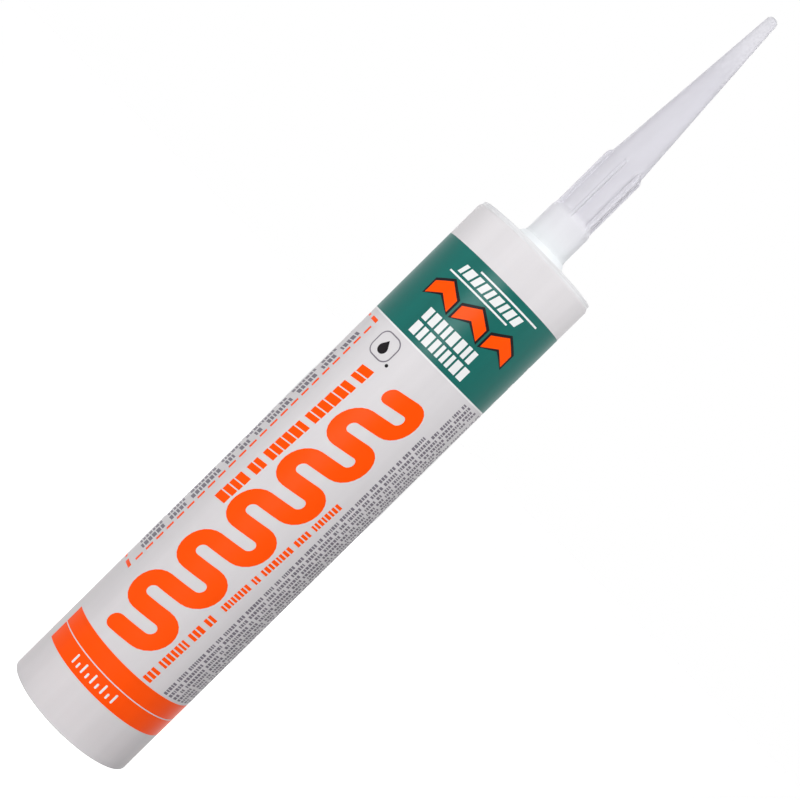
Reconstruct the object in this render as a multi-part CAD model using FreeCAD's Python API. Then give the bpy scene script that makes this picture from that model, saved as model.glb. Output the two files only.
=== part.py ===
import FreeCAD, Part
import math
import os

# Caulk tube, a plastic cartridge of about 300 mL, standing upright on its rear rim.
# Millimetres. The origin is the centre of the rear rim, and +Z runs along the tube to the nozzle.

# Barrel: plastic tube, open at the rear
barrel_outer_d = 50.0
barrel_wall = 1.5
barrel_len = 216.2
barrel_front_edge = 0.5
barrel_rear_edge = 0.35
barrel_mouth_chamfer = 0.5

# End cap: moulded head, pressed into the front of the barrel
cap_rim_inset = 0.6
cap_rim_h = 1.3
cap_rim_edge = 0.3
cap_rim_width = 3.4
cap_floor = 2.0
cap_skirt_len = 8.0
cap_skirt_wall = 1.4
cap_skirt_taper = 0.5
cap_fit = 0.05
cap_web_count = 8
cap_web_t = 1.2
cap_web_sink = 0.3

# Boss and neck, moulded with the end cap: the white cone under the nozzle, and the hollow spout
boss_h = 3.4
boss_flare = 1.9
neck_d = 12.8
neck_wall = 1.9
neck_h = 10.2
neck_lip_edge = 0.4

# Neck seal: foil across the mouth of the neck
seal_t = 0.2

# Nozzle: one translucent moulding that screws on to the neck
thread_room = 0.9
collar_wall = 1.1
collar_h = 12.4
collar_foot_edge = 0.25
seat_gap = 0.6
shoulder_h = 2.0
shoulder_step = 1.55
shoulder_round = 4.0
grip_len = 24.2
grip_wall = 1.3
rib_count = 6
rib_inset = 0.1
rib_t = 1.2
rib_end_round = 2.6
rib_turn = -12.6
cone_len = 67.3
cone_end_d = 3.9
cone_tip_round = 1.7
cone_wall = 1.1
tip_plug = 8.3
gate_mark_d = 0.9
gate_mark_depth = 0.3

# Plunger: moulded cup piston
plunger_recess = 23.0
plunger_len = 16.0
plunger_fit = 0.05
plunger_waist_inset = 0.9
plunger_lip = 2.4
plunger_lip_ramp = 1.0
plunger_front_edge = 0.7
plunger_wall = 1.6
plunger_face = 1.8
plunger_hub_d = 13.0
plunger_hub_wall = 1.5
plunger_web_count = 8
plunger_web_t = 1.2
plunger_web_h = 5.0

# Sealant: the paste between the plunger and the neck seal
paste_gap = 0.3
paste_film = 0.1

# Radii and heights that follow from the sizes above
barrel_r = barrel_outer_d / 2
bore_r = barrel_r - barrel_wall
shoulder_z = barrel_len + cap_rim_h
cap_plug_r = bore_r - cap_fit
cap_rim_r = barrel_r - cap_rim_inset
cap_floor_z = barrel_len - cap_floor
cap_skirt_z = cap_floor_z - cap_skirt_len
cap_skirt_in_r = cap_plug_r - cap_skirt_wall
neck_r = neck_d / 2
neck_bore_r = neck_r - neck_wall
boss_top_z = shoulder_z + boss_h
neck_top_z = boss_top_z + neck_h
collar_bore_r = neck_r + thread_room
collar_r = collar_bore_r + collar_wall
collar_top_z = boss_top_z + collar_h
grip_z = collar_top_z + shoulder_h
grip_r = collar_r - shoulder_step
cone_z = grip_z + grip_len
tip_z = cone_z + cone_len
plunger_front_z = plunger_recess + plunger_len
plunger_lip_r = bore_r - plunger_fit


def upright(radius, height):
    """A point of a profile, in the plane of the tube's axis."""
    return FreeCAD.Vector(radius, 0, height)


def rounded_corner(before, corner, after, radius):
    """Three points on the arc that rounds one corner of a profile: its ends and its middle."""
    back = (before - corner).normalize()
    ahead = (after - corner).normalize()
    half_angle = back.getAngle(ahead) / 2
    run = radius / math.tan(half_angle)
    bisector = (back + ahead).normalize()
    middle = corner + bisector * (radius / math.sin(half_angle) - radius)
    return corner + back * run, middle, corner + ahead * run


def outline_face(corners):
    """A closed profile from (radius, height, corner rounding); a rounding is cut as two flats."""
    points = [upright(corner[0], corner[1]) for corner in corners]
    outline = []
    for i, point in enumerate(points):
        rounding = corners[i][2]
        after = points[(i + 1) % len(points)]
        if rounding > 0:
            outline.extend(rounded_corner(points[i - 1], point, after, rounding))
        else:
            outline.append(point)
    return Part.Face(Part.makePolygon(outline + [outline[0]]))


def turned(corners):
    """A solid of revolution about the tube's axis."""
    centre = FreeCAD.Vector(0, 0, 0)
    axis = FreeCAD.Vector(0, 0, 1)
    return outline_face(corners).revolve(centre, axis, 360)


def radial_web(inner_r, outer_r, low_z, high_z, thickness):
    """A flat upright web from one radius to another, along +X."""
    corner = FreeCAD.Vector(inner_r, -thickness / 2, low_z)
    return Part.makeBox(outer_r - inner_r, thickness, high_z - low_z, corner)


def ring_of(shape, count, start_deg=0.0):
    """Copies of a shape, evenly spaced round the tube's axis."""
    copies = []
    for i in range(count):
        copy = shape.copy()
        angle = start_deg + i * 360.0 / count
        copy.rotate(FreeCAD.Vector(0, 0, 0), FreeCAD.Vector(0, 0, 1), angle)
        copies.append(copy)
    return copies


def joined(body, pieces):
    """One solid from a body and what is moulded on to it."""
    for piece in pieces:
        body = body.fuse(piece)
    return body.removeSplitter()


def make_barrel():
    """Straight tube with eased ends."""
    return turned([
        (bore_r + barrel_mouth_chamfer, 0, 0),
        (barrel_r - barrel_rear_edge, 0, 0),
        (barrel_r, barrel_rear_edge, 0),
        (barrel_r, barrel_len - barrel_front_edge, 0),
        (barrel_r - barrel_front_edge, barrel_len, 0),
        (bore_r, barrel_len, 0),
        (bore_r, barrel_mouth_chamfer, 0),
    ])


def make_end_cap():
    """Rim on the barrel's front edge, skirt inside the bore, webbed floor, boss and hollow neck."""
    rim_in_r = cap_rim_r - cap_rim_width
    boss_foot_r = collar_r + boss_flare
    body = turned([
        (neck_bore_r, cap_floor_z, 0),
        (cap_skirt_in_r, cap_floor_z, 0),
        (cap_skirt_in_r, cap_skirt_z, 0),
        (cap_plug_r - cap_skirt_taper, cap_skirt_z, 0),
        (cap_plug_r, cap_skirt_z + 2 * cap_skirt_taper, 0),
        (cap_plug_r, barrel_len, 0),
        (cap_rim_r, barrel_len, 0),
        (cap_rim_r, shoulder_z - cap_rim_edge, 0),
        (cap_rim_r - cap_rim_edge, shoulder_z, 0),
        (rim_in_r, shoulder_z, 0),
        (rim_in_r, barrel_len, 0),
        (boss_foot_r, barrel_len, 0),
        (boss_foot_r, shoulder_z, 0),
        (collar_r, boss_top_z, 0),
        (neck_r, boss_top_z, 0),
        (neck_r, neck_top_z - neck_lip_edge, 0),
        (neck_r - neck_lip_edge, neck_top_z, 0),
        (neck_bore_r, neck_top_z, 0),
    ])
    web = radial_web(boss_foot_r - cap_web_t / 2, rim_in_r + cap_web_t / 2,
                     barrel_len - cap_floor / 2, shoulder_z - cap_web_sink, cap_web_t)
    return joined(body, ring_of(web, cap_web_count))


def make_neck_seal():
    """Foil disc on the mouth of the neck."""
    seal_r = neck_r - neck_lip_edge
    return Part.makeCylinder(seal_r, seal_t, FreeCAD.Vector(0, 0, neck_top_z))


def make_grip_ribs():
    """Long ribs with rounded noses, which run out of the collar and round off at the cone."""
    reach_r = collar_r - rib_inset
    root_r = grip_r - grip_wall / 2
    nose_r = rib_t / 2
    low_z = collar_top_z - shoulder_h
    blade = radial_web(root_r, reach_r - nose_r, low_z, cone_z, rib_t)
    nose = Part.makeCylinder(nose_r, cone_z - low_z, FreeCAD.Vector(reach_r - nose_r, 0, low_z))
    envelope = turned([
        (0, low_z, 0),
        (reach_r, low_z, 0),
        (reach_r, cone_z, rib_end_round),
        (0, cone_z, 0),
    ])
    rib = blade.fuse(nose).common(envelope)
    front_deg = -90.0
    return ring_of(rib, rib_count, front_deg + rib_turn)


def make_nozzle():
    """Hollow moulding: collar over the neck, ribbed grip, long cone and closed tip."""
    tip_r = cone_end_d / 2
    bore_end_z = tip_z - tip_plug
    bore_end_r = tip_r + (grip_r - tip_r) * tip_plug / cone_len - cone_wall
    inside = [
        (0, bore_end_z, 0),
        (bore_end_r, bore_end_z, 0),
        (grip_r - grip_wall, cone_z, 0),
        (grip_r - grip_wall, grip_z, 0),
        (collar_bore_r, neck_top_z + seal_t + seat_gap, 0),
        (collar_bore_r, boss_top_z, 0),
    ]
    body = turned([
        (collar_r - collar_foot_edge, boss_top_z, 0),
        (collar_r, boss_top_z + collar_foot_edge, 0),
        (collar_r, collar_top_z, shoulder_round),
        (grip_r, grip_z, 0),
        (grip_r, cone_z, 0),
        (tip_r, tip_z, cone_tip_round),
        (0, tip_z, 0),
    ] + inside)
    passage = turned([(0, boss_top_z, 0)] + inside)
    whole = joined(body, [rib.cut(passage) for rib in make_grip_ribs()])
    gate_foot = FreeCAD.Vector(0, 0, tip_z - gate_mark_depth)
    return whole.cut(Part.makeCylinder(gate_mark_d / 2, 2 * gate_mark_depth, gate_foot))


def make_plunger():
    """Cup open to the rear, with a wiping lip at each end, and a hub and radial webs on its floor."""
    low_z = plunger_recess
    high_z = plunger_front_z
    waist_r = plunger_lip_r - plunger_waist_inset
    cup_r = waist_r - plunger_wall
    hub_r = plunger_hub_d / 2
    face_z = high_z - plunger_face
    body = turned([
        (0, face_z, 0),
        (cup_r, face_z, 0),
        (cup_r, low_z, 0),
        (plunger_lip_r, low_z, 0),
        (plunger_lip_r, low_z + plunger_lip, 0),
        (waist_r, low_z + plunger_lip + plunger_lip_ramp, 0),
        (waist_r, high_z - plunger_lip - plunger_lip_ramp, 0),
        (plunger_lip_r, high_z - plunger_lip, 0),
        (plunger_lip_r, high_z - plunger_front_edge, 0),
        (plunger_lip_r - plunger_front_edge, high_z, 0),
        (0, high_z, 0),
    ])
    web_z = face_z - plunger_web_h
    hub = turned([
        (hub_r - plunger_hub_wall, web_z, 0),
        (hub_r, web_z, 0),
        (hub_r, face_z + plunger_face / 2, 0),
        (hub_r - plunger_hub_wall, face_z + plunger_face / 2, 0),
    ])
    web = radial_web(hub_r - plunger_hub_wall / 2, cup_r + plunger_wall / 2,
                     web_z, face_z + plunger_face / 2, plunger_web_t)
    return joined(body, [hub] + ring_of(web, plunger_web_count))


def make_sealant():
    """Paste that fills the bore, the end cap's skirt and the neck."""
    paste_r = bore_r - paste_film
    skirt_paste_r = cap_skirt_in_r - paste_film
    neck_paste_r = neck_bore_r - paste_film
    return turned([
        (0, plunger_front_z + paste_gap, 0),
        (paste_r, plunger_front_z + paste_gap, 0),
        (paste_r, cap_skirt_z - paste_film, 0),
        (skirt_paste_r, cap_skirt_z - paste_film, 0),
        (skirt_paste_r, cap_floor_z - paste_film, 0),
        (neck_paste_r, cap_floor_z - paste_film, 0),
        (neck_paste_r, neck_top_z - paste_film, 0),
        (0, neck_top_z - paste_film, 0),
    ])


nodes = {
    "barrel": make_barrel(),
    "end_cap": make_end_cap(),
    "neck_seal": make_neck_seal(),
    "nozzle": make_nozzle(),
    "plunger": make_plunger(),
    "sealant": make_sealant(),
}

os.makedirs("parts", exist_ok=True)
for name, shape in nodes.items():
    shape.exportStep("parts/" + name + ".step")
    print(name, "solids", len(shape.Solids), "valid", shape.isValid(), "volume", round(shape.Volume))
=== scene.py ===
import bmesh
import bpy
import math
import random
from mathutils import Matrix, Vector


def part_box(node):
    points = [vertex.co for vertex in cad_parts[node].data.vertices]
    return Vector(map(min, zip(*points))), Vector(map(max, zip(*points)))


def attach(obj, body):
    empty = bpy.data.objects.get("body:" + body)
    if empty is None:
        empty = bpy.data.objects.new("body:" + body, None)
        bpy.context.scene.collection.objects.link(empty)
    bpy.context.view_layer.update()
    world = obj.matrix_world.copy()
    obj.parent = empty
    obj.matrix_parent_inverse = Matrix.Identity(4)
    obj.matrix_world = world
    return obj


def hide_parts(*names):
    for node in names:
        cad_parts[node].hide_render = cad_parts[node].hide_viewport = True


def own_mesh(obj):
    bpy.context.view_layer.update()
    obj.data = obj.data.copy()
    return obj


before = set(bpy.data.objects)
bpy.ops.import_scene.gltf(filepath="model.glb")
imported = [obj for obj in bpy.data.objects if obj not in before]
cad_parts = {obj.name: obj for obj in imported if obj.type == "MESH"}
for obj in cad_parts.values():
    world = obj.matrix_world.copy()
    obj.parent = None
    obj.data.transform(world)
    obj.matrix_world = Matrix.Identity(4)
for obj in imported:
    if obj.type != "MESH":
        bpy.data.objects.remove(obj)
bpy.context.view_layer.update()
mm = 0.001

# The barrel: a straight plastic tube of satin grey-white, open at the rear, and eased at both ends.
# It is drawn as one long extrusion, so faint lines run along it, and everything else fits in or on it.
barrel_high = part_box("barrel")[1]
barrel_r = barrel_high.x / mm
barrel_len = barrel_high.z / mm
barrel_wall = 1.5
bore_r = barrel_r - barrel_wall
rear_round = 0.4
front_round = 1.2
barrel_colour = (0.65, 0.63, 0.645, 1)


def softened(corners, steps=5):
    """Points of a closed profile from (radius, height, rounding), with an arc at each rounded corner."""
    points = []
    for i, (radius, height, rounding) in enumerate(corners):
        corner = Vector((radius, height))
        if rounding == 0:
            points.append(corner)
            continue
        back = (Vector(corners[i - 1][:2]) - corner).normalized()
        ahead = (Vector(corners[(i + 1) % len(corners)][:2]) - corner).normalized()
        half = back.angle(ahead) / 2
        centre = corner + (back + ahead).normalized() * rounding / math.sin(half)
        spoke = corner + back * rounding / math.tan(half) - centre
        side = 1 if back.x * ahead.y - back.y * ahead.x < 0 else -1
        for k in range(steps + 1):
            turn = Matrix.Rotation(side * (math.pi - 2 * half) * k / steps, 2)
            points.append(centre + turn @ spoke)
    return points


def even_angles(count):
    """Angles round the tube, evenly spaced."""
    return [2 * math.pi * i / count for i in range(count)]


def shown(name, points, faces, crease_deg=40):
    """A smooth-shaded mesh object from points in millimetres, with edges kept crisp past an angle."""
    mesh = bpy.data.meshes.new(name)
    mesh.from_pydata([Vector(p) * mm for p in points], [], faces)
    mesh.validate()
    mesh.shade_smooth()
    mesh.set_sharp_from_angle(angle=math.radians(crease_deg))
    piece = bpy.data.objects.new(name, mesh)
    bpy.context.collection.objects.link(piece)
    return piece


def turned(name, profile, angles, radius_at=None):
    """A solid of revolution from a closed profile of (radius, height); points on the axis are shared."""
    points = []
    rings = []
    for radius, height in profile:
        if radius < 1e-4:
            rings.append([len(points)] * len(angles))
            points.append((0, 0, height))
            continue
        rings.append(range(len(points), len(points) + len(angles)))
        for angle in angles:
            reach = radius_at(radius, height, angle) if radius_at else radius
            points.append((reach * math.sin(angle), -reach * math.cos(angle), height))
    faces = []
    for i, ring in enumerate(rings):
        following = rings[(i + 1) % len(rings)]
        for k in range(len(angles)):
            n = (k + 1) % len(angles)
            corners = [ring[k], ring[n], following[n], following[k]]
            face = [c for j, c in enumerate(corners) if c != corners[j - 1]]
            if len(face) > 2:
                faces.append(face)
    return shown(name, points, faces)


def plastic(name, colour, roughness, gloss=0.25, streak=(1, 1, 0.04), grain_mm=0.5, mottle=0.05,
            relief=0.03):
    """Moulded or drawn plastic: faint cloudy colour, streaks along the flow, and a fine satin grain."""
    material = bpy.data.materials.new(name)
    material.use_nodes = True
    nodes = material.node_tree.nodes
    link = material.node_tree.links.new
    shader = nodes["Principled BSDF"]
    shader.inputs["Specular IOR Level"].default_value = gloss
    place = nodes.new("ShaderNodeTexCoord")
    stretch = nodes.new("ShaderNodeMapping")
    stretch.inputs["Scale"].default_value = streak
    link(place.outputs["Object"], stretch.inputs["Vector"])
    cloud = nodes.new("ShaderNodeTexNoise")
    cloud.inputs["Scale"].default_value = 180
    cloud.inputs["Detail"].default_value = 4
    link(stretch.outputs["Vector"], cloud.inputs["Vector"])
    tone = nodes.new("ShaderNodeValToRGB")
    tone.color_ramp.elements[0].position = 0.3
    tone.color_ramp.elements[1].position = 0.7
    tone.color_ramp.elements[0].color = [c * (1 - mottle) for c in colour[:3]] + [1]
    tone.color_ramp.elements[1].color = [min(1, c * (1 + mottle)) for c in colour[:3]] + [1]
    link(cloud.outputs["Fac"], tone.inputs["Fac"])
    link(tone.outputs["Color"], shader.inputs["Base Color"])
    sheen = nodes.new("ShaderNodeMapRange")
    sheen.inputs["To Min"].default_value = roughness - 0.06
    sheen.inputs["To Max"].default_value = roughness + 0.06
    link(cloud.outputs["Fac"], sheen.inputs["Value"])
    link(sheen.outputs["Result"], shader.inputs["Roughness"])
    grain = nodes.new("ShaderNodeTexNoise")
    grain.inputs["Scale"].default_value = 1 / (grain_mm * mm)
    grain.inputs["Detail"].default_value = 3
    link(place.outputs["Object"], grain.inputs["Vector"])
    bump = nodes.new("ShaderNodeBump")
    bump.inputs["Strength"].default_value = relief
    bump.inputs["Distance"].default_value = 0.1 * mm
    link(grain.outputs["Fac"], bump.inputs["Height"])
    link(bump.outputs["Normal"], shader.inputs["Normal"])
    return material


barrel = turned("barrel_tube", softened([
    (bore_r, 0, rear_round),
    (barrel_r, 0, rear_round),
    (barrel_r, barrel_len, front_round),
    (bore_r, barrel_len, 0.1),
]), even_angles(180))
barrel.data.materials.append(plastic("barrel_satin", barrel_colour, 0.38, gloss=0.03, grain_mm=0.9,
                                     mottle=0.025, relief=0.01))
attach(barrel, "barrel")
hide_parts("barrel")

# The print: ink laid straight on the barrel, each colour a film of a few hundredths of a millimetre.
# Places are millimetres round the barrel from its front line, and heights from the rear rim.
ink_t = 0.02
orange = plastic("ink_orange", (0.99, 0.080, 0.001, 1), 0.36, gloss=0.08, mottle=0.03, relief=0.015)
green = plastic("ink_green", (0.004, 0.115, 0.098, 1), 0.36, gloss=0.2, mottle=0.06, relief=0.015)
pale = plastic("ink_pale", (0.76, 0.77, 0.77, 1), 0.4, gloss=0.08, mottle=0.02, relief=0.015)
grey = plastic("ink_grey", (0.185, 0.168, 0.200, 1), 0.4, gloss=0.06, mottle=0.1, relief=0.015)
dark = plastic("ink_dark", (0.012, 0.010, 0.012, 1), 0.4, gloss=0.08, mottle=0.1, relief=0.015)


def ink(name, colour, shapes, layer=1, step=1.3):
    """Flat shapes of (across, height) points, cut into upright strips and wrapped on the barrel."""
    sheet = bmesh.new()
    for shape in shapes:
        sheet.faces.new([sheet.verts.new((across, height, 0)) for across, height in shape])
    low = min(v.co.x for v in sheet.verts)
    high = max(v.co.x for v in sheet.verts)
    for i in range(math.ceil(low / step), math.ceil(high / step)):
        whole = sheet.verts[:] + sheet.edges[:] + sheet.faces[:]
        bmesh.ops.bisect_plane(sheet, geom=whole, plane_co=(i * step, 0, 0), plane_no=(1, 0, 0))
    bmesh.ops.remove_doubles(sheet, verts=sheet.verts, dist=1e-4)
    sheet.normal_update()
    sheet.verts.ensure_lookup_table()
    sheet.verts.index_update()
    points = []
    count = len(sheet.verts)
    for reach in (barrel_r + ink_t * (layer - 0.8), barrel_r + ink_t * layer):
        for v in sheet.verts:
            angle = v.co.x / barrel_r
            points.append((reach * math.sin(angle), -reach * math.cos(angle), v.co.y))
    faces = []
    for face in sheet.faces:
        corners = [v.index for v in face.verts]
        if face.normal.z < 0:
            corners.reverse()
        faces.append([c + count for c in corners])
        faces.append(corners[::-1])
        for c, n in zip(corners, corners[1:] + corners[:1]):
            if len(sheet.edges.get((sheet.verts[c], sheet.verts[n])).link_faces) == 1:
                faces.append([c, n, n + count, c + count])
    sheet.free()
    film = shown(name, points, faces)
    film.data.materials.append(colour)
    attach(film, "barrel")


def block(left, low, right, high):
    """An upright rectangle."""
    return [(left, low), (right, low), (right, high), (left, high)]


def pill(left, low, right, high, rounding, steps=4):
    """A rectangle with rounded corners."""
    centres = [(right - rounding, low + rounding, -90), (right - rounding, high - rounding, 0),
               (left + rounding, high - rounding, 90), (left + rounding, low + rounding, 180)]
    outline = []
    for x, y, start in centres:
        for k in range(steps + 1):
            a = math.radians(start + 90 * k / steps)
            outline.append((x + rounding * math.cos(a), y + rounding * math.sin(a)))
    return outline


def ribbon(path, width):
    """Quads of a stroke of one width that follows a path."""
    quads = []
    edges = []
    for i, here in enumerate(path):
        before = path[max(i - 1, 0)]
        after = path[min(i + 1, len(path) - 1)]
        run = (Vector(after) - Vector(before)).normalized()
        side = Vector((-run.y, run.x)) * width / 2
        edges.append((Vector(here) + side, Vector(here) - side))
    for (a, b), (c, d) in zip(edges, edges[1:]):
        quads.append([tuple(a), tuple(b), tuple(d), tuple(c)])
    return quads


# An orange band near the rear, split by a bare hairline, with a row of pale ticks long and short by turns
band_start = -28.9
band_end = 118.0
band_low = 16.3
hairline_low = 23.35
hairline_high = 23.75
band_high = 30.4
ink("band_orange", orange, [
    block(band_start, band_low, band_end, hairline_low),
    block(band_start, hairline_high, band_end, band_high),
])
ticks = []
tick_start = -13.0
tick_low = 18.2
tick_w = 0.75
tick_pitch = 2.3
for i in range(9):
    length = 3.6 if i % 2 == 0 else 2.0
    left = tick_start + tick_pitch * i
    ticks.append(pill(left, tick_low, left + tick_w, tick_low + length, 0.3))
ink("band_ticks", pale, ticks, layer=2)

# A green band near the front with a pale line behind it, round to the seam of the print at the back
green_seam = 3.0
green_half = math.pi * barrel_r - green_seam
green_low = 168.1
green_high = 202.2
ink("band_green", green, [block(-green_half, green_low, green_half, green_high)])
ink("band_green_line", pale, [block(-green_half, 167.5, green_half, 168.0)])

# The bold orange bead that runs to and fro along the front, broad at the rear and narrower ahead
bead_low_z = 35.5
bead_high_z = 155.0
bead_runs = 12
bead_w = 6.2
bead_half = 13.0
bead_bend_r = (bead_high_z - bead_low_z - bead_w) / (bead_runs - 1) / 2
bead_straight = bead_half - bead_w / 2 - bead_bend_r
bend_steps = 12
path = []
for i in range(bead_runs):
    z = bead_low_z + bead_w / 2 + 2 * bead_bend_r * i
    side = 1 if i % 2 == 0 else -1
    path.append((-side * bead_straight, z))
    path.append((side * bead_straight, z))
    if i < bead_runs - 1:
        for k in range(1, bend_steps):
            a = math.pi * k / bend_steps
            across = side * (bead_straight + bead_bend_r * math.sin(a))
            path.append((across, z + bead_bend_r - bead_bend_r * math.cos(a)))

bead_start = -7.6
bead_climb = 10.9
bead_taper = 0.22
bead_lean = 0.16


def on_slope(across, height):
    """The bead's row climbs across the barrel, narrows and leans a little."""
    share = (height - bead_low_z) / (bead_high_z - bead_low_z)
    middle = bead_start + bead_climb * share
    return (middle + across * (1 - bead_taper * share), height + bead_lean * across)


def half_disc(x, y, radius, steps=10):
    """A half disc that bulges to the left."""
    turns = [math.pi * (0.5 + k / steps) for k in range(steps + 1)]
    return [(x + radius * math.cos(a), y + radius * math.sin(a)) for a in turns]


bead = ribbon(path, bead_w)
for x, z in (path[0], path[-1]):
    bead.append(half_disc(x, z, bead_w / 2))
ink("bead_row", orange, [[on_slope(*corner) for corner in shape] for shape in bead])


def block_row(rng, low, high, start, lift, size, gap, word_gap, lean=0.0, slope=0.0):
    """A row of small blocks along the barrel, in groups; it begins at start and may slope and lean."""
    shapes = []
    z = low
    while z < high:
        for i in range(rng.randint(2, 8)):
            long = rng.uniform(*size)
            if z + long > high:
                return shapes
            left = start + slope * (z - low)
            right = left + lift
            shapes.append([(left, z), (left, z + long), (right, z + long + lean), (right, z + lean)])
            z += long + gap
        z += word_gap
    return shapes


# A bold orange row left of the bead, and two thin ones in line right of it
rng = random.Random(7)
rows_low = 31.5
ink("row_bold", orange, block_row(rng, 88.0, 152.5, start=-20.1, lift=5.2, size=(1.9, 3.1), gap=0.5,
                                  word_gap=1.7, lean=0.9, slope=0.075))
row_thin = block_row(rng, rows_low, 61.0, start=7.2, lift=3.4, size=(0.8, 1.6), gap=0.55, word_gap=1.4,
                     slope=0.04)
row_thin += block_row(rng, 65.0, 117.0, start=8.9, lift=2.7, size=(0.7, 1.3), gap=0.5, word_gap=1.4,
                      slope=0.062)
ink("row_thin", orange, row_thin)

# Seventeen fine rows, right of the bead and on towards the back, every fifth one shorter
fine = []
fine_pitch = 2.55
for i in range(17):
    high = 167.0 if i % 5 else 150.0
    fine += block_row(rng, rows_low, high, start=17.0 + fine_pitch * i, lift=1.6, size=(0.4, 0.95), gap=0.3,
                      word_gap=0.8)
ink("rows_fine", grey, fine, step=2.0)

# A dashed orange frame at the left, longer at its corners, with larger grey rows inside it
dashed_left = -62.0
dashed_right = -25.0
dashed_low = 50.0
dashed_high = 166.0
dash_w = 1.1
dash_len = 3.2
dash_pitch = 4.75
corner_len = 5.0
dashes = []
z = dashed_low + 4.5
while z < dashed_high - 6:
    dashes.append(block(dashed_right - dash_w, z, dashed_right, z + dash_len))
    dashes.append(block(dashed_left, z, dashed_left + dash_w, z + dash_len))
    z += dash_pitch
for z in (dashed_low, dashed_high - 3.0):
    for left in (dashed_right - corner_len, dashed_left):
        dashes.append(block(left, z + 0.9, left + corner_len, z + 2.3))
    across = dashed_left + 7
    while across < dashed_right - 8:
        dashes.append(block(across, z + 1.1, across + dash_len, z + 2.1))
        across += dash_pitch
ink("frame_dashes", orange, dashes)
large = []
large_pitch = 4.4
for i in range(7):
    high = dashed_high - 8 - 9 * (i % 3)
    large += block_row(rng, dashed_low + 8, high, start=dashed_right - 5.6 - large_pitch * i, lift=3.1,
                       size=(0.7, 1.6), gap=0.45, word_gap=2.4, lean=0.5)
ink("rows_large", grey, large)

# A plain grey frame with a dark drop in it, and a dot below it
mark_x = -14.4
mark_z = 161.0
mark_half = 4.6


def drop(x, y, radius, steps=18):
    """A drop with its point up the barrel."""
    tip = 1.75 * radius
    touch = math.asin(radius / tip)
    outline = [(x, y + tip)]
    for k in range(steps + 1):
        a = touch - (math.pi + 2 * touch) * k / steps
        outline.append((x + radius * math.cos(a), y + radius * math.sin(a)))
    return outline


rim = pill(mark_x - mark_half, mark_z - mark_half, mark_x + mark_half, mark_z + mark_half, 3.0, 8)
ink("mark_frame", grey, ribbon(rim + rim[:2], 0.45))
ink("mark_drop", dark, [drop(mark_x, mark_z - 1.0, 1.9)])
ink("mark_dot", dark, [pill(-9.6, 156.4, -8.4, 157.6, 0.58, 6)])


def bar_row(rng, left, right, low, high, size, gap, lean=0.0):
    """A row of upright bars round the barrel, which may lean forwards."""
    shapes = []
    while left + size[1] < right:
        wide = rng.uniform(*size)
        shapes.append([(left, low), (left + wide, low), (left + wide + lean, high), (left + lean, high)])
        left += wide + gap
    return shapes


# White bars on the green: two rows at its rear edge, a leaning one between two rules at its front edge,
# and three low rows on the right
white_bars = bar_row(rng, -12.6, 12.2, 170.0, 174.6, size=(1.2, 2.7), gap=0.75)
white_bars += bar_row(rng, -12.6, 12.2, 175.7, 180.3, size=(1.2, 2.7), gap=0.75)
white_bars += bar_row(rng, -15.4, 14.8, 194.4, 198.0, size=(1.6, 3.0), gap=0.8, lean=1.1)
for low in (172.0, 179.5, 187.0):
    white_bars += bar_row(rng, 35.0, 68.0, low, low + 2.6, size=(0.9, 2.0), gap=0.6)
white_bars.append(block(-17.8, 192.8, 9.0, 193.45))
white_bars.append(block(-9.0, 198.95, 17.8, 199.6))
ink("bars_white", pale, white_bars, layer=2)


def chevron(x, low, half, thick, rise, edge):
    """The two halves of an upward chevron, grown by an edge all round."""
    top = low + thick + rise + edge * 1.5
    foot = low - edge
    shapes = []
    for side in (-1, 1):
        out = x + side * (half + edge)
        inner = top - thick - 2.8 * edge
        shapes.append([(x, inner), (out, foot), (out, foot + thick + 2 * edge), (x, top)])
    return shapes


# Three orange chevrons in the middle of the green, each on a larger dark one
chevron_low = 182.4
for i, x in enumerate((-13.3, 0.0, 13.3)):
    edged = chevron(x, chevron_low, half=5.5, thick=5.0, rise=3.7, edge=0.75)
    plain = chevron(x, chevron_low, half=5.5, thick=5.0, rise=3.7, edge=0)
    ink("chevron_edge_%d" % (i + 1), dark, edged, layer=2)
    ink("chevron_%d" % (i + 1), orange, plain, layer=3)

# The end cap: a white moulded head, pressed into the barrel's front, with the boss and the hollow neck.
# Its thin rim lies on the barrel's edge, and eight webs stiffen the floor behind the rim.
cap_low, cap_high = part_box("end_cap")
neck_top = cap_high.z / mm
rim_r = barrel_r - 0.6
rim_in_r = rim_r - 3.4
shoulder_z = barrel_len + 1.3
cap_floor_z = barrel_len - 2.0
skirt_z = cap_low.z / mm
skirt_in_r = 22.05
press_fit = 0.05
boss_top = shoulder_z + 3.4
boss_foot_r = 11.2
boss_top_r = 8.78
collar_r = 8.4
neck_r = 6.4
neck_bore_r = 4.5


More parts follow.
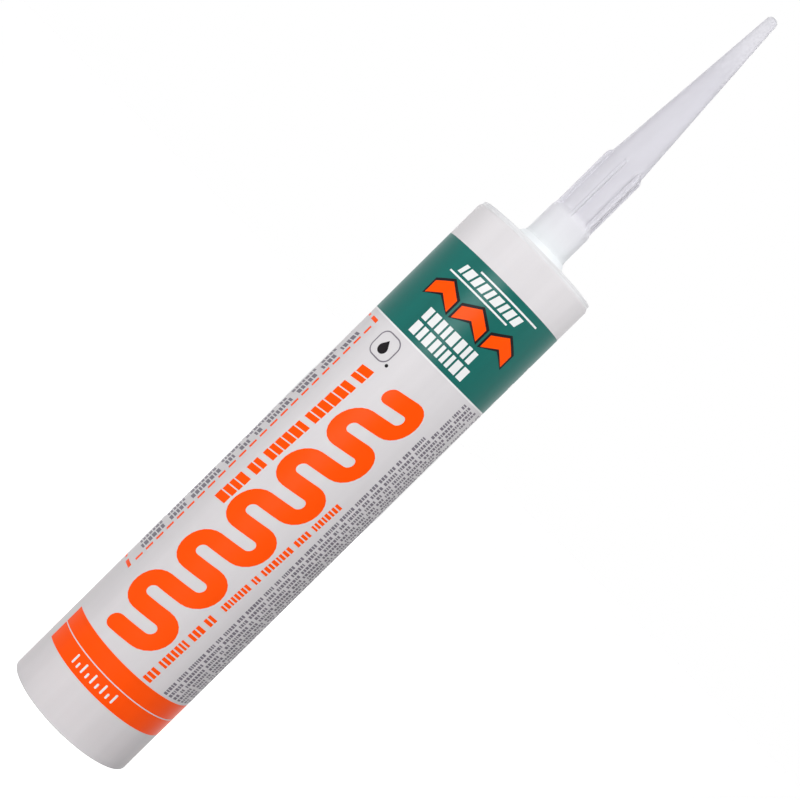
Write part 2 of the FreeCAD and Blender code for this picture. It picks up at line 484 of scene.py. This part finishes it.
def tone_and_shade_by_height(material, low, high, tones_and_shades):
    """Multiplies a material's colour by tones that change with height along the tube, painted shade among
    them, and gives the socket that runs from 0 to 1.
    """
    nodes = material.node_tree.nodes
    link = material.node_tree.links.new
    place = nodes.new("ShaderNodeSeparateXYZ")
    link(nodes["Texture Coordinate"].outputs["Object"], place.inputs["Vector"])
    share = nodes.new("ShaderNodeMapRange")
    share.inputs["From Min"].default_value = low * mm
    share.inputs["From Max"].default_value = high * mm
    link(place.outputs["Z"], share.inputs["Value"])
    tone_and_shade_ramp = nodes.new("ShaderNodeValToRGB")
    tone_and_shade_ramp.color_ramp.elements[0].color = tones_and_shades[0][1] + (1,)
    tone_and_shade_ramp.color_ramp.elements[1].color = tones_and_shades[-1][1] + (1,)
    for position, tint in tones_and_shades[1:-1]:
        tone_and_shade_ramp.color_ramp.elements.new(position).color = tint + (1,)
    link(share.outputs["Result"], tone_and_shade_ramp.inputs["Fac"])
    product = nodes.new("ShaderNodeMix")
    product.data_type = "RGBA"
    product.blend_type = "MULTIPLY"
    product.inputs["Factor"].default_value = 1
    link(tone_and_shade_ramp.outputs["Color"], product.inputs["A"])
    link(nodes["Color Ramp"].outputs["Color"], product.inputs["B"])
    link(product.outputs["Result"], nodes["Principled BSDF"].inputs["Base Color"])
    return share.outputs["Result"]


cap_plastic = plastic("cap_white", (0.98, 0.98, 0.98, 1), 0.34, gloss=0.15, streak=(1, 1, 1),
                      mottle=0.02)
# The head is one white moulding; these tints are painted shade: darker on the rim's wall, lighter on the
# boss, and darker again on the neck inside the nozzle. The webs and the thread share it.
tone_and_shade_by_height(cap_plastic, shoulder_z, neck_top, [
    (0, (0.665, 0.665, 0.68)), (0.03, (0.805, 0.83, 0.85)), (0.25, (0.775, 0.80, 0.82)),
    (0.32, (0.64, 0.66, 0.675)), (1, (0.64, 0.66, 0.675))])
# The underside of the rim follows the barrel's rounded edge, a hundredth of a millimetre above it
rim_seat = []
for k in range(4):
    out = front_round * (0.2 + 0.17 * k)
    fall = front_round - math.sqrt(front_round ** 2 - out ** 2)
    rim_seat.append((barrel_r - front_round + out, barrel_len - fall + 0.01, 0))
cap = turned("cap_head", softened([
    (neck_bore_r, cap_floor_z, 0.3),
    (skirt_in_r, cap_floor_z, 0.8),
    (skirt_in_r, skirt_z, 0.3),
    (skirt_in_r + 0.9, skirt_z, 0.1),
    (bore_r - press_fit, skirt_z + 1.0, 0.2),
    (bore_r - press_fit, barrel_len, 0),
] + rim_seat + [
    (rim_r, barrel_len + 0.3, 0.3),
    (rim_r, shoulder_z, 0.35),
    (rim_in_r, shoulder_z, 0.25),
    (rim_in_r, barrel_len, 0.3),
    (boss_foot_r, barrel_len, 0.3),
    (boss_foot_r, shoulder_z, 0.2),
    (boss_top_r, boss_top, 0.1),
    (neck_r, boss_top, 0.1),
    (neck_r, neck_top, 0.45),
    (neck_bore_r, neck_top, 0.2),
]), even_angles(180))
cap.data.materials.append(cap_plastic)
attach(cap, "barrel")
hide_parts("end_cap")

# The webs, a little lower than the rim, with their top edges eased
web_half = 0.6
web_ease = 0.25
web_top = shoulder_z - 0.3
web_foot = cap_floor_z + 1
web_side = web_top - web_ease
web_section = [(-web_half, web_foot), (web_half, web_foot), (web_half, web_side),
               (web_half - web_ease, web_top), (web_ease - web_half, web_top), (-web_half, web_side)]
web_points = []
web_faces = []
for angle in even_angles(8):
    spoke = Matrix.Rotation(angle, 3, "Z")
    first = len(web_points)
    for radius in (boss_foot_r - web_half, rim_in_r + web_half):
        for side, z in web_section:
            web_points.append(spoke @ Vector((radius, side, z)))
    for k in range(6):
        n = (k + 1) % 6
        web_faces.append([first + k, first + n, first + 6 + n, first + 6 + k])
    web_faces.append([first + k for k in reversed(range(6))])
    web_faces.append([first + 6 + k for k in range(6)])
webs = shown("cap_webs", web_points, web_faces, 20)
webs.data.materials.append(cap_plastic)
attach(webs, "barrel")

# The thread on the neck: a low ridge in about two and a half turns, which the nozzle screws on to.
thread_turns = 2.6
thread_pitch = 3.0
thread_half = 0.85
thread_crest = 0.6
thread_sunk = 0.15
thread_low = boss_top + 1.6
turn_steps = 60
thread_steps = int(thread_turns * turn_steps)
thread_points = []
thread_faces = []
# It rises from the neck and runs out again over a twelfth of its length at each end
for i in range(thread_steps + 1):
    share = i / thread_steps
    angle = 2 * math.pi * thread_turns * share
    fade = min(1, share * 12, (1 - share) * 12)
    z = thread_low + thread_pitch * thread_turns * share
    crest = thread_crest * fade
    for out, rise in ((-thread_sunk, -1), (crest, -0.3), (crest, 0.3), (-thread_sunk, 1)):
        radius = neck_r + out
        height = z + rise * thread_half
        thread_points.append((radius * math.sin(angle), -radius * math.cos(angle), height))
for i in range(thread_steps):
    for k in range(4):
        n = (k + 1) % 4
        thread_faces.append([4 * i + k, 4 * i + 4 + k, 4 * i + 4 + n, 4 * i + n])
thread_faces.append([0, 1, 2, 3])
thread_faces.append([4 * thread_steps + k for k in (3, 2, 1, 0)])
thread = shown("neck_thread", thread_points, thread_faces, 35)
thread.data.materials.append(cap_plastic)
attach(thread, "barrel")

# The neck seal: a disc of thin aluminium foil on the mouth of the neck, pierced before the first use.
foil = bpy.data.materials.new("foil_satin")
foil.use_nodes = True
foil_shader = foil.node_tree.nodes["Principled BSDF"]
foil_shader.inputs["Base Color"].default_value = (0.60, 0.61, 0.63, 1)
foil_shader.inputs["Metallic"].default_value = 1
foil_shader.inputs["Roughness"].default_value = 0.36
wrinkle = foil.node_tree.nodes.new("ShaderNodeTexVoronoi")
wrinkle.inputs["Scale"].default_value = 900
wrinkle_bump = foil.node_tree.nodes.new("ShaderNodeBump")
wrinkle_bump.inputs["Strength"].default_value = 0.25
wrinkle_bump.inputs["Distance"].default_value = 0.1 * mm
foil.node_tree.links.new(wrinkle.outputs["Distance"], wrinkle_bump.inputs["Height"])
foil.node_tree.links.new(wrinkle_bump.outputs["Normal"], foil_shader.inputs["Normal"])
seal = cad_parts["neck_seal"]
seal.data.materials.clear()
seal.data.materials.append(foil)

# The nozzle: one translucent moulding of soft plastic, with a collar over the neck, six long ribs to
# grip it by, and a long hollow cone that is closed by a solid tip until it is cut.
nozzle_low, nozzle_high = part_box("nozzle")
foot_z = nozzle_low.z / mm
tip_z = nozzle_high.z / mm
collar_top = foot_z + 12.4
grip_z = collar_top + 2.0
cone_z = grip_z + 24.2
grip_r = 6.85
nozzle_wall = 1.3
tip_r = 1.95
collar_bore_r = 7.3
rib_reach = collar_r - 0.1
rib_half = 0.6
rib_round = 2.6
rib_fillet = 0.9
rib_count = 6
rib_turn = math.radians(-12.6)


def rib_top(height):
    """How far out a rib reaches at a height; it grows out of the collar and rounds off at the cone."""
    past = height - (cone_z - rib_round)
    if height < collar_top:
        return rib_reach - 0.3 * (collar_top - height)
    if past <= 0:
        return rib_reach
    if past >= rib_round:
        return 0
    return rib_reach - rib_round + math.sqrt(rib_round ** 2 - past ** 2)


def nozzle_radius(radius, height, angle):
    """The core's radius, or the rib's where a rib stands out of it, with a small fillet between them."""
    inside = radius < grip_r - 0.6 or (height < collar_top - 1 and radius < collar_r - 0.5)
    if inside or height < collar_top - 2 or height > cone_z:
        return radius
    step = 2 * math.pi / rib_count
    off = abs((angle - rib_turn + step / 2) % step - step / 2)
    centre = rib_top(height) - rib_half
    if centre <= 0:
        return radius
    away = centre * math.sin(off)
    if away <= rib_half:
        rib = centre * math.cos(off) + math.sqrt(rib_half ** 2 - away ** 2)
    else:
        rib = rib_half / math.sin(off)
    near = max(0, 1 - abs(rib - radius) / rib_fillet)
    return max(radius, rib) + near * near * rib_fillet / 4


# Angles round the nozzle, closest where a rib's flank rises and wide apart between the ribs
beside_rib = [1.4, 2.7, 3.6, 4.2, 4.5, 4.8, 5.1, 6, 8, 12, 18, 24]
round_rib = [-degrees for degrees in reversed(beside_rib)] + [0] + beside_rib + [30]
rib_angles = []
for i in range(rib_count):
    middle = rib_turn + 2 * math.pi * i / rib_count
    for degrees in round_rib:
        rib_angles.append(middle + math.radians(degrees))

tip_plug = 8.3
bore_end_z = tip_z - tip_plug
bore_end_r = 1.35
dimple_r = 0.45
dimple_z = tip_z - 0.3
profile = softened([
    (collar_bore_r, foot_z, 0.2),
    (boss_top_r, foot_z, 0.1),
    (collar_r, foot_z + 0.7, 2.2),
    (collar_r, collar_top, 2.6),
    (grip_r, grip_z, 0.8),
    (grip_r, cone_z, 0.0),
    (tip_r, tip_z, 1.6),
    (dimple_r, tip_z, 0.1),
    (dimple_r, dimple_z, 0),
    (0, dimple_z, 0),
    (0, bore_end_z, 0),
    (bore_end_r, bore_end_z, 0.6),
    (grip_r - nozzle_wall, cone_z, 0),
    (grip_r - nozzle_wall, grip_z, 0),
    (collar_bore_r, neck_top + 0.8, 0.3),
], 8)
# The profile's long runs are divided, finer outside, where the ribs rise and round off
fine_profile = []
for here, after in zip(profile, profile[1:] + profile[:1]):
    fine_profile.append(here)
    if abs(after.y - here.y) > 4 and here.x > 0.5:
        outside = after.y > here.y
        count = 60 if outside else 20
        for k in range(1, count):
            fine_profile.append(here.lerp(after, k / count))
nozzle = turned("nozzle_cone", fine_profile, rib_angles, nozzle_radius)

# Milky plastic: bluish and nearly opaque at the thick collar, clearer in the cone, opaque at the tip
milky = plastic("nozzle_milky", (0.98, 0.98, 0.98, 1), 0.42, gloss=0.2, streak=(1, 1, 0.1), grain_mm=0.9,
                mottle=0.02, relief=0.006)
milky_shader = milky.node_tree.nodes["Principled BSDF"]
milky_shader.inputs["IOR"].default_value = 1.3
# The bluish tone is the plastic's own; its darkening from the collar towards the tip is painted shade that
# evens out the stronger light of the lamps beside the nozzle.
milky_height = tone_and_shade_by_height(milky, foot_z, tip_z, [
    (0, (0.76, 0.785, 0.805)), (0.05, (0.765, 0.77, 0.80)), (0.115, (0.75, 0.745, 0.785)),
    (0.145, (0.675, 0.665, 0.715)), (0.70, (0.62, 0.61, 0.66)), (1, (0.585, 0.58, 0.615))])
milky_clear = milky.node_tree.nodes.new("ShaderNodeValToRGB")
milky_clear.color_ramp.elements[0].color = (0.08, 0.08, 0.08, 1)
milky_clear.color_ramp.elements[1].color = (0, 0, 0, 1)
for share, clear in ((0.15, 0.15), (0.75, 0.15), (0.88, 0.03)):
    milky_clear.color_ramp.elements.new(share).color = (clear, clear, clear, 1)
milky.node_tree.links.new(milky_height, milky_clear.inputs["Fac"])
milky.node_tree.links.new(milky_clear.outputs["Color"], milky_shader.inputs["Transmission Weight"])
nozzle.data.materials.append(milky)
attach(nozzle, "nozzle")
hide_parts("nozzle")

# The plunger: a cup piston moulded in hard white plastic, with a wiping lip at each end.
# A hub and eight webs stand on the floor of the cup, where the gun's plate pushes.
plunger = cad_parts["plunger"]
plunger.data.materials.clear()
plunger.data.materials.append(plastic("plunger_matt", (0.72, 0.72, 0.70, 1), 0.55, streak=(1, 1, 1),
                                      mottle=0.04))

# The sealant: smooth white paste that fills the bore, the cap's skirt and the neck.
# It is made as a column in the bore and a plug in the cap and neck; in use the column shortens as the
# plunger comes up, and the plug stays.
paste = plastic("paste_gloss", (0.80, 0.80, 0.78, 1), 0.25, streak=(1, 1, 1), grain_mm=4, mottle=0.02,
                relief=0.3)
paste_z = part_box("sealant")[0].z / mm
paste_gap = 0.1
column_top = skirt_z - 0.02
column = turned("sealant_column", softened([
    (0, paste_z, 0),
    (bore_r - paste_gap, paste_z, 0.4),
    (bore_r - paste_gap, column_top, 0.4),
    (0, column_top, 0),
]), even_angles(120))
column.data.materials.append(paste)
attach(column, "barrel")
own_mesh(column)
plug = turned("sealant_plug", softened([
    (0, column_top, 0),
    (skirt_in_r - paste_gap, column_top, 0.3),
    (skirt_in_r - paste_gap, cap_floor_z - paste_gap, 0.7),
    (neck_bore_r - paste_gap, cap_floor_z - paste_gap, 0.3),
    (neck_bore_r - paste_gap, neck_top - paste_gap, 0.3),
    (0, neck_top - paste_gap, 0),
]), even_angles(120))
plug.data.materials.append(paste)
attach(plug, "barrel")
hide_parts("sealant")
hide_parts("sealant")

# The floor and the light: a white table, a large soft lamp in front, a small one at each side of the
# nozzle, and weaker ones above and behind, as in a product studio. The one behind doesn't mirror in
# the gloss, so the tube's outline stays clean.
floor_half = 6
floor_corners = [(x, y, 0) for x, y in block(-floor_half, -floor_half, floor_half, floor_half)]
floor_mesh = bpy.data.meshes.new("floor")
floor_mesh.from_pydata(floor_corners, [], [[0, 1, 2, 3]])
floor = bpy.data.objects.new("floor", floor_mesh)
bpy.context.collection.objects.link(floor)
floor_material = bpy.data.materials.new("floor_white")
floor_material.use_nodes = True
floor_nodes = floor_material.node_tree.nodes
floor_link = floor_material.node_tree.links.new
floor_shader = floor_nodes["Principled BSDF"]
floor_shader.inputs["Base Color"].default_value = (0.85, 0.85, 0.85, 1)
floor_shader.inputs["Roughness"].default_value = 0.9
floor_shader.inputs["Emission Color"].default_value = (1, 1, 1, 1)


def seen_plainly(nodes, link):
    """1 for rays that see a thing directly, in a gloss or through clear plastic, else 0."""
    ray = nodes.new("ShaderNodeLightPath")
    last = ray.outputs["Is Camera Ray"]
    for kind in ("Is Glossy Ray", "Is Transmission Ray"):
        either = nodes.new("ShaderNodeMath")
        either.operation = "MAXIMUM"
        link(last, either.inputs[0])
        link(ray.outputs[kind], either.inputs[1])
        last = either.outputs["Value"]
    return last


floor_glow = floor_nodes.new("ShaderNodeMath")
floor_glow.operation = "MULTIPLY"
floor_glow.inputs[1].default_value = 0.85
floor_link(seen_plainly(floor_nodes, floor_link), floor_glow.inputs[0])
floor_link(floor_glow.outputs["Value"], floor_shader.inputs["Emission Strength"])
floor_mesh.materials.append(floor_material)

world = bpy.data.worlds.new("studio")
bpy.context.scene.world = world
world.use_nodes = True
world_nodes = world.node_tree.nodes
world_link = world.node_tree.links.new
glow = world_nodes["Background"]
glow.inputs["Color"].default_value = (1, 1, 1, 1)
level = world_nodes.new("ShaderNodeMapRange")
level.inputs["To Min"].default_value = 0.08
level.inputs["To Max"].default_value = 1.0
world_link(seen_plainly(world_nodes, world_link), level.inputs["Value"])
world_link(level.outputs["Result"], glow.inputs["Strength"])


def lamp(name, place, aim, size, power):
    """A soft square lamp that points at a spot."""
    light = bpy.data.lights.new(name, "AREA")
    light.size = size
    light.energy = power
    holder = bpy.data.objects.new(name, light)
    holder.location = place
    holder.rotation_euler = (Vector(aim) - Vector(place)).to_track_quat("-Z", "Y").to_euler()
    bpy.context.collection.objects.link(holder)
    return holder


lamp("front", (-0.36, -1.355, 0.40), (0, 0, 0.15), 0.6, 12.9)
lamp("side", (0.22, -0.05, 0.33), (0, 0, 0.30), 0.15, 0.41)
lamp("left", (-0.24, -0.12, 0.34), (0, 0, 0.30), 0.15, 0.24)
lamp("top", (0, -0.35, 0.95), (0, 0, 0.22), 0.4, 1.5)
rear_lamp = lamp("back", (-0.35, 1.0, 0.5), (0, 0, 0.15), 0.6, 8)
rear_lamp.visible_glossy = False

# The camera: nearly level with the tube's middle, and rolled so that the tube lies across the picture.
camera = bpy.data.cameras.new("camera")
camera.lens = 80.95
camera.sensor_width = 36
camera.clip_start = 0.01
eye = bpy.data.objects.new("camera", camera)
bpy.context.collection.objects.link(eye)
bearing = 0.0230
pitch_up = -0.0333
roll = math.radians(45.363)
look = Vector((math.sin(bearing) * math.cos(pitch_up), math.cos(bearing) * math.cos(pitch_up),
               math.sin(pitch_up)))
level_right = look.cross(Vector((0, 0, 1))).normalized()
level_up = level_right.cross(look)
right = level_right * math.cos(roll) + level_up * math.sin(roll)
up = level_up * math.cos(roll) - level_right * math.sin(roll)
turn = Matrix((right, up, -look)).transposed().to_4x4()
stand = Vector((-11.19, -594.80, 171.47)) * mm
eye.matrix_world = Matrix.Translation(stand) @ turn
bpy.context.scene.camera = eye
bpy.context.scene.view_settings.view_transform = "Standard"
